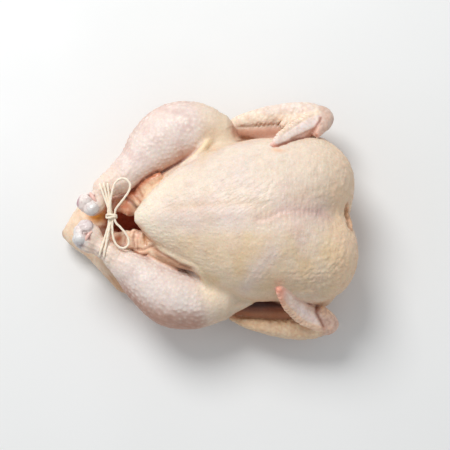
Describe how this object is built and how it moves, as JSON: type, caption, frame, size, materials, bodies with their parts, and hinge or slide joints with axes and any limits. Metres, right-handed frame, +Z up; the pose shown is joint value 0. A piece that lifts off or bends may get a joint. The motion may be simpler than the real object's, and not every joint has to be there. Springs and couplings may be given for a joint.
{
  "type": "whole raw chicken",
  "caption": "Whole raw chicken lying on its back, breast up, with folded wings, an open body cavity and its ankles tied together with cotton twine in a bow.",
  "frame": {"origin": "centre of the bounding box, on the surface that the bird lies on", "axes": "+X along the body towards the neck end, tail and tied ankles at -X; +Y across the body towards the bird's right leg; +Z up through the breast"},
  "size_m": [0.2342, 0.1883, 0.1017],
  "materials": {
    "raw_skin": "moist raw chicken skin, pale cream and pink with yellow fat, semi-gloss",
    "cotton_twine": "undyed twisted cotton, matt"
  },
  "bodies": {
    "root": {"chicken": "raw_skin", "twine": "cotton_twine"}
  },
  "joints": []
}
